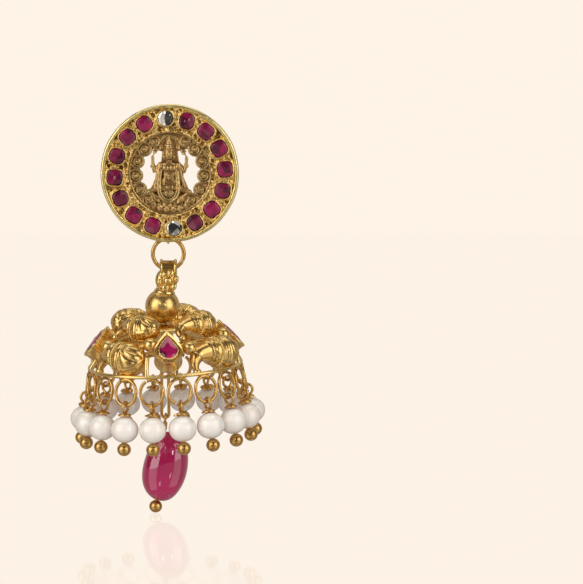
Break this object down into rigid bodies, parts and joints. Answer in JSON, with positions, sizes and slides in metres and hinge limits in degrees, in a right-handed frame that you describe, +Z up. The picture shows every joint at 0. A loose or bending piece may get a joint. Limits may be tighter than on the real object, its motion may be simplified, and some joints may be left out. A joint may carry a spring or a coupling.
{
  "type": "jhumka earring, left of a mirrored pair",
  "caption": "Jhumka earring: a round ruby-set stud round a pierced goddess medallion, and under it a swinging bell of mango castings with pearls and a ruby pendant.",
  "frame": {"origin": "on the ear post's axis, in the plane of the stud's back, where the post leaves it", "axes": "+Z up as worn, -Y the way the stud faces, +Y along the post into the ear, +X to the viewer's right"},
  "size_m": [0.0291, 0.029, 0.0618],
  "materials": {
    "gold": "polished yellow gold plate",
    "antique_gold": "antique gold plate",
    "ruby_red": "cut ruby over foil",
    "clear_stone": "cut clear stone over foil",
    "pearl": "ivory pearl with a gold pin",
    "ruby_bead": "polished ruby tumble"
  },
  "bodies": {
    "stud": {"stud_ring": "gold", "goddess_medallion": "antique_gold", "ruby_01": "ruby_red", "ruby_02": "ruby_red", "ruby_03": "ruby_red", "ruby_04": "ruby_red", "ruby_05": "ruby_red", "ruby_06": "ruby_red", "ruby_07": "ruby_red", "ruby_08": "ruby_red", "ruby_09": "ruby_red", "ruby_10": "ruby_red", "ruby_11": "ruby_red", "ruby_12": "ruby_red", "ruby_13": "ruby_red", "ruby_14": "ruby_red", "clear_stone_top": "clear_stone", "clear_stone_bottom": "clear_stone", "ear_post": "gold"},
    "jump_ring": {"jump_ring": "gold"},
    "drop": {"bail": "gold", "sphere_bead": "gold", "dome": "gold", "pear_stone_front": "ruby_red", "pear_stone_right": "ruby_red", "pear_stone_back": "ruby_red", "pear_stone_left": "ruby_red", "pearl_drop_01": "pearl", "pearl_drop_02": "pearl", "pearl_drop_03": "pearl", "pearl_drop_04": "pearl", "pearl_drop_05": "pearl", "pearl_drop_06": "pearl", "pearl_drop_07": "pearl", "pearl_drop_08": "pearl", "pearl_drop_09": "pearl", "pearl_drop_10": "pearl", "pearl_drop_11": "pearl", "pearl_drop_12": "pearl", "pearl_drop_13": "pearl", "pearl_drop_14": "pearl", "pearl_drop_15": "pearl", "pearl_drop_16": "pearl", "pearl_drop_17": "pearl", "pearl_drop_18": "pearl"},
    "pendant": {"pendant_link": "gold", "ruby_drop": "ruby_bead", "pendant_pin": "gold"}
  },
  "joints": [
    {"name": "ring_swing", "type": "hinge", "parent": "stud", "child": "jump_ring", "pos_m": [-0.0004, 0.00069, -0.01145], "axis": [1, 0, 0], "range_deg": [-30, 30]},
    {"name": "drop_swing", "type": "hinge", "parent": "jump_ring", "child": "drop", "pos_m": [-0.0004, 0.00069, -0.01587], "axis": [1, 0, 0], "range_deg": [-30, 30]},
    {"name": "pendant_swing", "type": "hinge", "parent": "drop", "child": "pendant", "pos_m": [-0.001, 0.00069, -0.02938], "axis": [1, 0, 0], "range_deg": [-22, 22]}
  ]
}
